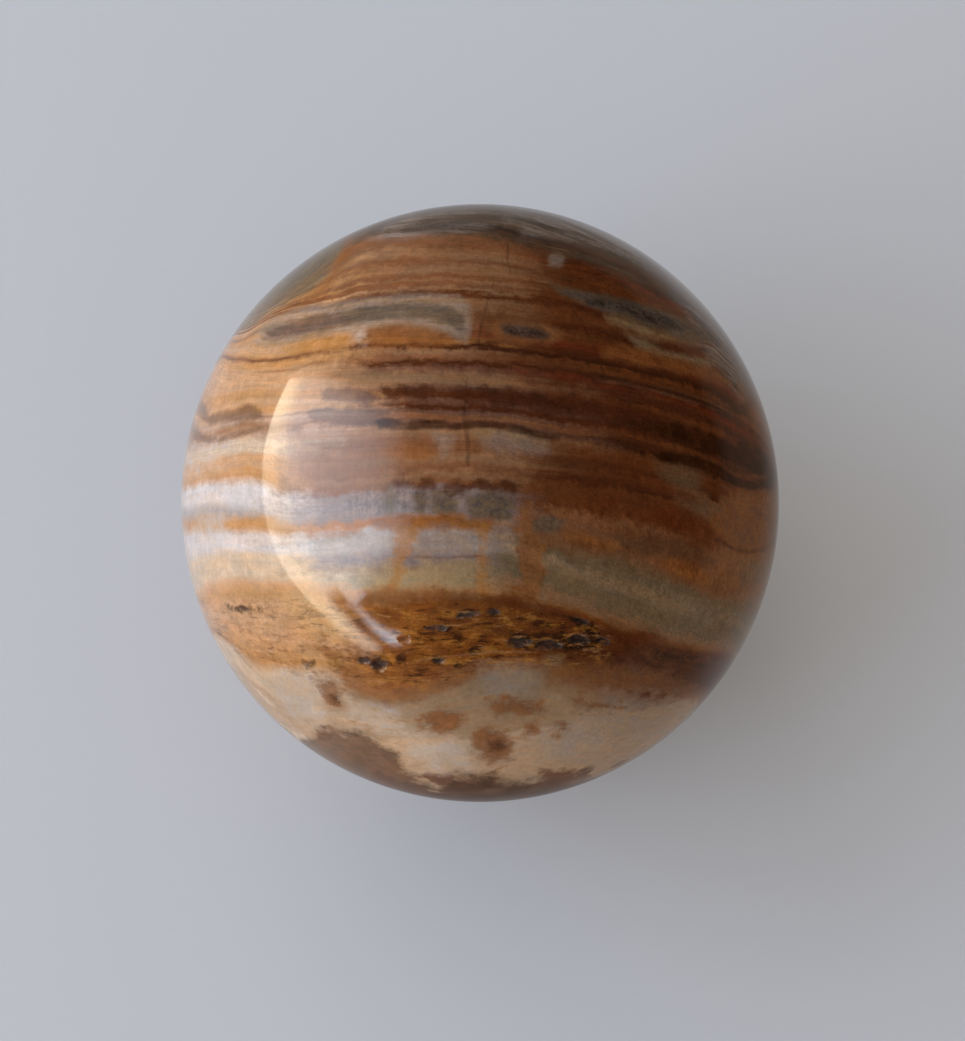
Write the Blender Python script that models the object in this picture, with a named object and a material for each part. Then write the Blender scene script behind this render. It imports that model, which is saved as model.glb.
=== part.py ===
"""A polished banded onyx sphere with a small ground foot, in metres, +Z up.

The stone is one turned ball, and it rests with its layers leaning. The stone's own axes
are east, along +X, north, across the layers, and out, square to both. They are the world's
axes turned about X by the lean. The brown seam of small open pits runs round the ball like
a line of latitude about north. The foot is a flat ground on the underside, where the ball
rests, and the origin is the middle of that flat.
"""

import math
import random

import bmesh
import bpy
from mathutils import Euler, Matrix, Vector

DIAMETER = 0.076
FOOT_DIAMETER = 0.015
LEAN_DEG = 18.0
SEGMENTS = 80
RINGS = 40

# Open pits in the brown seam, in millimetres, as seen along the stone's out axis:
# place east, place north, length along the seam, width across it, depth, turn in degrees.
OUTER_PITS = (
    (-11.6, -18.6, 2.2, 1.5, 0.60, 12.0),
    (-13.4, -18.1, 1.8, 0.7, 0.35, -8.0),
    (-1.5, -12.6, 3.2, 0.9, 0.40, 6.0),
    (1.5, -12.3, 1.8, 0.8, 0.35, -5.0),
    (-5.0, -14.2, 3.0, 0.8, 0.40, 4.0),
    (-8.6, -15.6, 1.4, 0.8, 0.35, 0.0),
    (-4.7, -18.0, 1.6, 0.7, 0.35, 0.0),
    (4.4, -15.9, 3.4, 1.2, 0.50, 3.0),
    (7.8, -16.2, 3.6, 1.5, 0.60, -4.0),
    (11.3, -15.6, 3.2, 1.3, 0.50, -10.0),
    (14.2, -15.9, 2.2, 1.0, 0.40, -16.0),
    (11.6, -13.5, 2.6, 0.7, 0.35, -20.0),
    (-24.6, -17.4, 1.8, 0.8, 0.35, 8.0),
    (-28.0, -12.6, 2.6, 0.6, 0.35, -4.0),
    (-20.4, -18.9, 1.7, 0.9, 0.40, 14.0),
)
# The same on the far half, seen through the ball.
FAR_PITS = (
    (-24.0, -18.4, 2.2, 1.1, 0.45, -6.0),
    (-14.0, -16.6, 2.8, 0.9, 0.40, 4.0),
    (9.0, -18.2, 3.0, 1.2, 0.50, 6.0),
    (22.0, -17.2, 2.4, 0.9, 0.40, -5.0),
)
PIT_ROUGHNESS = 0.16
PIT_SEED = 7

MM = 0.001
RADIUS = DIAMETER / 2
FOOT_RADIUS = FOOT_DIAMETER / 2
CENTRE_HEIGHT = math.sqrt(RADIUS**2 - FOOT_RADIUS**2)
CENTRE = Vector((0, 0, CENTRE_HEIGHT))
STONE_AXES = Matrix.Rotation(math.radians(LEAN_DEG), 3, "X")
NORTH = STONE_AXES @ Vector((0, 1, 0))


def clear_scene():
    for existing in list(bpy.data.objects):
        bpy.data.objects.remove(existing)


def stone_material():
    """Warm brown, cream and grey onyx under a high polish."""
    material = bpy.data.materials.new("polished onyx")
    material.use_nodes = True
    shader = material.node_tree.nodes["Principled BSDF"]
    shader.inputs["Base Color"].default_value = (0.30, 0.17, 0.10, 1.0)
    shader.inputs["Roughness"].default_value = 0.12
    shader.inputs["Metallic"].default_value = 0.0
    return material


def profile_points():
    """The half outline in the XZ plane, from the foot's rim up to the top pole.

    A ring lies exactly on the widest circle, so that the diameter is the stated one.
    """
    foot_angle = -math.asin(CENTRE_HEIGHT / RADIUS)
    lower_steps = RINGS // 2 - 1
    upper_steps = RINGS // 2
    angles = [foot_angle * (1 - step / lower_steps) for step in range(lower_steps)]
    angles += [math.pi / 2 * step / upper_steps for step in range(upper_steps)]
    points = [Vector((math.cos(a) * RADIUS, 0, math.sin(a) * RADIUS)) for a in angles]
    return [CENTRE + point for point in points]


def turned_stone(material):
    """The ball: its profile spun about Z, closed by the flat foot and the top pole."""
    bm = bmesh.new()
    start = [bm.verts.new(point) for point in profile_points()]
    edges = [bm.edges.new(pair) for pair in zip(start, start[1:])]
    bmesh.ops.spin(
        bm,
        geom=start + edges,
        cent=CENTRE,
        axis=(0, 0, 1),
        angle=math.tau,
        steps=SEGMENTS,
        use_merge=True,
    )
    bmesh.ops.remove_doubles(bm, verts=bm.verts, dist=1e-6)
    rims = [edge for edge in bm.edges if edge.is_boundary]
    upper_rim = [edge for edge in rims if edge.verts[0].co.z > CENTRE_HEIGHT]
    lower_rim = [edge for edge in rims if edge.verts[0].co.z < CENTRE_HEIGHT]
    bmesh.ops.edgeloop_fill(bm, edges=lower_rim)
    cap = bmesh.ops.edgeloop_fill(bm, edges=upper_rim)["faces"]
    pole = bmesh.ops.poke(bm, faces=cap)["verts"][0]
    pole.co = CENTRE + Vector((0, 0, RADIUS))
    bmesh.ops.recalc_face_normals(bm, faces=bm.faces)
    mesh = bpy.data.meshes.new("onyx_sphere")
    bm.to_mesh(mesh)
    bm.free()
    mesh.materials.append(material)
    mesh.shade_smooth()
    stone = bpy.data.objects.new("onyx_sphere", mesh)
    bpy.context.scene.collection.objects.link(stone)
    return stone


def surface_frame(east, north, side):
    """A frame on the ball's surface: X east along the seam, Z straight away from it.

    side is 1 for the half that the out axis points to, and -1 for the far half.
    """
    out = side * math.sqrt(RADIUS**2 - east**2 - north**2)
    away = (STONE_AXES @ Vector((east, north, out))).normalized()
    along = NORTH.cross(away).normalized()
    across = away.cross(along)
    turn = Matrix((along, across, away)).transposed().to_4x4()
    return Matrix.Translation(CENTRE + away * RADIUS) @ turn


def pit_cutter(name, pit, side, chance):
    """An uneven flattened bead that sinks to the pit's depth and shows its outline.

    The bead's middle lies on the surface, so its half sizes are the pit's own.
    """
    east, north, length, width, depth = (value * MM for value in pit[:5])
    bm = bmesh.new()
    bmesh.ops.create_icosphere(bm, subdivisions=2, radius=1.0)
    for vert in bm.verts:
        vert.co *= 1 + chance.uniform(-PIT_ROUGHNESS, PIT_ROUGHNESS)
    bmesh.ops.scale(bm, vec=(length / 2, width / 2, depth), verts=bm.verts)
    turn = Euler((0, 0, math.radians(pit[5]))).to_matrix().to_4x4()
    bmesh.ops.transform(bm, matrix=surface_frame(east, north, side) @ turn, verts=bm.verts)
    mesh = bpy.data.meshes.new(name)
    bm.to_mesh(mesh)
    bm.free()
    cutter = bpy.data.objects.new(name, mesh)
    cutter.hide_render = True
    cutter.display_type = "WIRE"
    return cutter


def open_pits(stone):
    """Cuts the seam's pits out of the ball with one Boolean."""
    chance = random.Random(PIT_SEED)
    cutters = bpy.data.collections.new("pit cutters")
    bpy.context.scene.collection.children.link(cutters)
    cutters.hide_render = True
    placed = [(pit, 1) for pit in OUTER_PITS] + [(pit, -1) for pit in FAR_PITS]
    for number, (pit, side) in enumerate(placed, start=1):
        cutters.objects.link(pit_cutter(f"pit_cutter_{number:02d}", pit, side, chance))
    cut = stone.modifiers.new("pits", "BOOLEAN")
    cut.operation = "DIFFERENCE"
    cut.operand_type = "COLLECTION"
    cut.collection = cutters
    cut.solver = "EXACT"


def main():
    clear_scene()
    stone = turned_stone(stone_material())
    open_pits(stone)


main()
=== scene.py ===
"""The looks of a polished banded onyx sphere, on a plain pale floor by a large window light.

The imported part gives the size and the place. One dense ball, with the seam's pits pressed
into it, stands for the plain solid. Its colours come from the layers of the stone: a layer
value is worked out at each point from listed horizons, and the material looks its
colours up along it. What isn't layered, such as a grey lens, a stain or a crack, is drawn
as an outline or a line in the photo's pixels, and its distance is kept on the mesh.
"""

import math
from types import SimpleNamespace

import bmesh
import bpy
import numpy as np
from mathutils import Matrix, Vector


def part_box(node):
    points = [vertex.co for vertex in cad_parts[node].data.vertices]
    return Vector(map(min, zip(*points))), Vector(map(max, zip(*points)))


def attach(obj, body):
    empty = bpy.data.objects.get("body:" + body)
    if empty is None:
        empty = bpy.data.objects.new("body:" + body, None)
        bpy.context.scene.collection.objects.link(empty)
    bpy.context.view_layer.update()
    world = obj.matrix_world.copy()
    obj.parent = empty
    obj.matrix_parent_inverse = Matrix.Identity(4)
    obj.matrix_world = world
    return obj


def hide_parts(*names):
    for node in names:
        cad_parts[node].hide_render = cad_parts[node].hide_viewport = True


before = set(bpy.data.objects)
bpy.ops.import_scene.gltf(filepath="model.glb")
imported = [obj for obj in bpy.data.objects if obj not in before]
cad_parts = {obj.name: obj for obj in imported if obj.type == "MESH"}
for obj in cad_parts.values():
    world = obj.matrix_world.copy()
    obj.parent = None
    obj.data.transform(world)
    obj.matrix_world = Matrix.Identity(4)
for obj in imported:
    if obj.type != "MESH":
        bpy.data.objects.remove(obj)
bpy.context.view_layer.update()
CAD_LOW, CAD_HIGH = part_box("onyx_sphere")

# The stone's own frame: east along +X, north across the layers, out square to both
LEAN_DEG = 18.0
RADIUS = (CAD_HIGH.x - CAD_LOW.x) / 2
CENTRE = Vector((0, 0, CAD_HIGH.z - RADIUS))
STONE_AXES = Matrix.Rotation(math.radians(LEAN_DEG), 3, "X")
OUT = STONE_AXES @ Vector((0, 0, 1))

# The photo's frame, in its own pixels, and where the ball stands in it
PHOTO_WIDTH = 965
PHOTO_HEIGHT = 1041
BALL_X = 480.0
BALL_Y = 503.0
BALL_PIXELS = 299.0
CAMERA_RADII = 8.0
FOCAL_PIXELS = BALL_PIXELS * math.sqrt(CAMERA_RADII**2 - 1)
RIM_ANGLE = math.acos(1 / CAMERA_RADII)
UNSEEN_PIXELS = 120.0
SENSOR_MM = 36.0

# The mesh: faces along a cube's edge, in two cuts, and the angle past which an edge is sharp
FIRST_FACES = 16
FACES_ALONG_EDGE = 112
SHARP_DEG = 40
MM = 0.001

# The light, as radiance
BLACK = (0.0, 0.0, 0.0, 1.0)
SKY = (3.1, 3.5, 4.05, 1.0)
SKY_DIM = (3.1, 3.6, 4.3, 1.0)
SKY_END = (6.2, 8.0, 9.4, 1.0)
STRIP_BRIGHT = (8.6, 7.5, 5.6, 1.0)
STRIP_DIM = (3.8, 3.3, 2.6, 1.0)
SILL = (0.42, 0.40, 0.36, 1.0)
ROOM_LIGHT = (0.58, 0.52, 0.45, 1.0)
SIDE_LIGHT = (0.92, 0.97, 1.0)
SIDE_WATTS = 5.5
SIDE_SIZE = 1.2
SIDE_PLACE = (-0.8, 1.0, 1.0)

# The floor: its left, right, front and back edges, its colour, and where it fades out of the
# ball's mirror image to the right, the back and the front, in metres. The dim colour and the
# black further out that the mirror sees are painted shade of the shadowed table and the room
FLOOR_EDGES = (-1.01, 0.6, -0.6, 0.6)
FLOOR_COLOUR = (0.528, 0.548, 0.598, 1.0)
FLOOR_DIM = (0.15, 0.125, 0.10, 1.0)
DIM_RIGHT = (0.02, 0.10)
DIM_BACK = (0.03, 0.13)
DIM_FRONT = (0.0, -0.06)
DARK_BEYOND = (0.15, 0.5)

# The window's outline and the sill's, in metres: along +Y and up
WINDOW_DISTANCE = 1.0
WINDOW_OUTLINE = (
    (0.64, 0.19), (0.69, 0.56), (0.76, 1.0), (0.78, 1.8), (0.60, 2.4), (-0.20, 2.5),
    (-0.85, 2.2), (-1.25, 1.55), (-1.14, 1.05), (-1.00, 0.72), (-0.96, 0.62), (-1.02, 0.52),
    (-1.21, 0.50), (-1.42, 0.51), (-1.69, 0.56), (-1.95, 0.68), (-2.06, 0.58), (-1.95, 0.50),
    (-1.67, 0.40), (-1.60, 0.24), (-1.40, 0.13), (-1.06, 0.13),
    (-0.79, 0.14), (-0.58, 0.11), (-0.42, 0.09), (-0.23, 0.08), (0.0, 0.10), (0.10, 0.11),
    (0.24, 0.12), (0.40, 0.15),
)
SILL_OUTLINE = ((0.62, 0.0), (0.62, 0.18), (-1.6, 0.18), (-1.6, 0.0))

# Pits as in the solid: east, north, length, width, depth in millimetres, turn in degrees
OUTER_PITS = (
    (-11.6, -18.6, 2.2, 1.5, 0.60, 12.0),
    (-13.4, -18.1, 1.8, 0.7, 0.35, -8.0),
    (-1.5, -12.6, 3.2, 0.9, 0.40, 6.0),
    (1.5, -12.3, 1.8, 0.8, 0.35, -5.0),
    (-5.0, -14.2, 3.0, 0.8, 0.40, 4.0),
    (-8.6, -15.6, 1.4, 0.8, 0.35, 0.0),
    (-4.7, -18.0, 1.6, 0.7, 0.35, 0.0),
    (4.4, -15.9, 3.4, 1.2, 0.50, 3.0),
    (7.8, -16.2, 3.6, 1.5, 0.60, -4.0),
    (11.3, -15.6, 3.2, 1.3, 0.50, -10.0),
    (14.2, -15.9, 2.2, 1.0, 0.40, -16.0),
    (11.6, -13.5, 2.6, 0.7, 0.35, -20.0),
    (-24.6, -17.4, 1.8, 0.8, 0.35, 8.0),
    (-28.0, -12.6, 2.6, 0.6, 0.35, -4.0),
    (-20.4, -18.9, 1.7, 0.9, 0.40, 14.0),
)
FAR_PITS = (
    (-24.0, -18.4, 2.2, 1.1, 0.45, -6.0),
    (-14.0, -16.6, 2.8, 0.9, 0.40, 4.0),
    (9.0, -18.2, 3.0, 1.2, 0.50, 6.0),
    (22.0, -17.2, 2.4, 0.9, 0.40, -5.0),
)

# What follows is placed on the photo, as runs of x,y points in its pixels.

# Horizons between the layers. Each has a layer value, which is the height at which it
# crosses the middle of the ball, and the points it runs through.
HORIZONS = (
    (212, "430,214 480,212 540,220 600,243 650,268 700,310 735,352"),
    (235, "362,240 405,231 440,230 490,234 531,245 592,259 654,287 682,301 703,318 722,340"),
    (265, "268,313 284,303 319,287 343,273 378,266 415,263 490,265 531,271 562,277 600,285 650,303 "
          "700,331 723,350"),
    (287, "272,314 302,304 340,294 374,287 415,284 480,285 530,289 562,294 592,303 633,314 674,326 "
          "712,344 732,363"),
    (302, "262,323 292,314 337,309 374,302 415,299 456,299 500,301 550,309 600,319 655,334 700,351 "
          "728,370 746,390"),
    (327, "238,347 262,345 290,341 315,335 345,330 400,326 450,328 490,330 550,337 610,347 655,357 "
          "700,369 732,386 752,407"),
    (348, "222,357 245,362 270,362 296,358 333,351 366,348 415,347 490,349 552,357 603,364 637,372 "
          "666,380 705,392 738,409 758,427"),
    (386, "202,392 230,391 255,387 285,388 325,388 384,388 445,387 490,389 550,395 610,403 660,413 "
          "715,434 745,450 765,460"),
    (425, "194,440 211,437 228,433 246,429 268,429 319,424 374,423 423,422 456,425 490,423 537,432 "
          "570,438 613,443 654,456 682,462 715,474 740,486 768,486"),
    (480, "182,486 200,482 217,478 240,475 262,479 280,488 343,489 384,485 430,483 480,483 520,488 "
          "572,493 640,503 700,517 745,531 772,540"),
    (522, "183,522 228,522 275,527 340,525 390,521 450,520 490,523 537,531 572,541 613,552 654,562 "
          "694,575 722,588 752,597"),
    (587, "195,590 211,583 241,578 303,581 360,586 405,585 490,586 520,591 541,598 582,608 613,621 "
          "637,631 674,640 705,647 735,656"),
    (666, "209,632 231,648 252,667 276,677 313,677 343,681 380,692 415,688 456,675 490,667 521,665 "
          "552,669 613,686 643,694 674,692 705,688"),
    (735, "290,735 340,740 400,738 450,734 500,734 560,732 620,738"),
    (778, "350,772 400,780 450,781 500,778 550,782 600,775"),
)

# The stone's minerals, as they look in full light
PALETTE = {
    "frost": (208, 194, 188),
    "pearl": (168, 156, 150),
    "cream": (206, 178, 150),
    "blush": (184, 148, 122),
    "peach": (198, 152, 112),
    "honey": (190, 140, 92),
    "amber": (168, 110, 60),
    "tan": (152, 110, 78),
    "salmon": (136, 90, 60),
    "rust": (106, 60, 32),
    "maroon": (86, 46, 26),
    "chocolate": (70, 38, 22),
    "umber": (48, 26, 14),
    "mauve": (116, 80, 62),
    "lavender": (142, 124, 120),
    "taupe": (100, 74, 54),
    "slate": (86, 76, 70),
    "olive": (116, 97, 72),
    "sage": (138, 120, 92),
    "straw": (170, 146, 112),
    "brick": (108, 50, 27),
    "ochre": (134, 80, 34),
    "soot": (34, 27, 25),
    "sand": (158, 130, 102),
    "buff": (182, 152, 124),
    "gold": (184, 126, 56),
    # butter: partly painted reflection of the window's warm strip
    "butter": (216, 174, 122),
}

# What the stone's colours are multiplied by where iron is scarce and where it is plenty
COOL_TINT = (0.97, 0.99, 1.03, 1.0)
WARM_TINT = (1.06, 0.98, 0.90, 1.0)

# Layers from north to south: the layer value at which each starts, and its mineral in the
# pale west, in the middle and in the iron-stained east of the stone
LAYERS = (
    (190, "taupe", "taupe", "taupe"),
    (214, "sage", "umber", "umber"),
    (218, "sage", "taupe", "taupe"),
    (225, "amber", "umber", "umber"),
    (229, "amber", "taupe", "taupe"),
    (237, "amber", "salmon", "maroon"),
    (247, "tan", "salmon", "brick"),
    (251, "honey", "tan", "rust"),
    (262, "tan", "salmon", "rust"),
    (266, "honey", "tan", "rust"),
    (278, "tan", "salmon", "maroon"),
    (281, "honey", "tan", "rust"),
    (287, "salmon", "salmon", "rust"),
    (290, "peach", "tan", "rust"),
    (295, "salmon", "rust", "maroon"),
    (299, "peach", "tan", "rust"),
    (306, "honey", "tan", "rust"),
    (313, "tan", "salmon", "maroon"),
    (320, "honey", "tan", "rust"),
    (330, "peach", "salmon", "brick"),
    (338, "honey", "amber", "maroon"),
    (344, "salmon", "maroon", "chocolate"),
    (348, "honey", "tan", "rust"),
    (354, "honey", "salmon", "rust"),
    (358, "peach", "maroon", "maroon"),
    (365, "peach", "mauve", "brick"),
    (370, "peach", "tan", "maroon"),
    (382, "peach", "mauve", "rust"),
    (388, "honey", "maroon", "maroon"),
    (398, "peach", "mauve", "chocolate"),
    (404, "honey", "maroon", "maroon"),
    (412, "blush", "mauve", "rust"),
    (416, "blush", "salmon", "maroon"),
    (420, "tan", "mauve", "chocolate"),
    (427, "blush", "tan", "rust"),
    (437, "cream", "salmon", "rust"),
    (446, "cream", "salmon", "maroon"),
    (452, "peach", "tan", "rust"),
    (462, "peach", "salmon", "maroon"),
    (470, "honey", "tan", "rust"),
    (477, "honey", "salmon", "rust"),
    (484, "frost", "lavender", "rust"),
    (496, "frost", "lavender", "salmon"),
    (508, "pearl", "lavender", "salmon"),
    (517, "honey", "amber", "salmon"),
    (530, "frost", "pearl", "olive"),
    (542, "frost", "pearl", "sand"),
    (555, "cream", "lavender", "olive"),
    (566, "cream", "sand", "olive"),
    (576, "cream", "straw", "tan"),
    (588, "peach", "honey", "ochre"),
    (598, "honey", "ochre", "brick"),
    (606, "peach", "ochre", "rust"),
    (618, "peach", "ochre", "maroon"),
    (645, "honey", "ochre", "maroon"),
    (660, "cream", "tan", "rust"),
    (672, "cream", "sand", "salmon"),
    (680, "cream", "sand", "tan"),
    (692, "buff", "sand", "buff"),
    (735, "cream", "buff", "buff"),
    (755, "cream", "buff", "blush"),
    (772, "buff", "buff", "buff"),
    (779, "taupe", "mauve", "mauve"),
)

# Where the stone is pale, and where iron has stained it
AREAS = {
    "pale west": (
        "-200,-200 345,-200 345,300 345,350 375,388 345,420 315,440 290,480 292,520 335,560 "
        "335,600 345,650 350,690 340,760 300,820 480,1200 -200,1200"
    ),
    "stained east": (
        "480,-200 545,190 530,300 490,320 490,345 515,370 565,400 600,430 550,450 520,478 508,500 "
        "506,520 500,560 510,600 560,625 560,680 600,720 630,760 600,820 480,1200 1200,1200 "
        "1200,-200"
    ),
}

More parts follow.
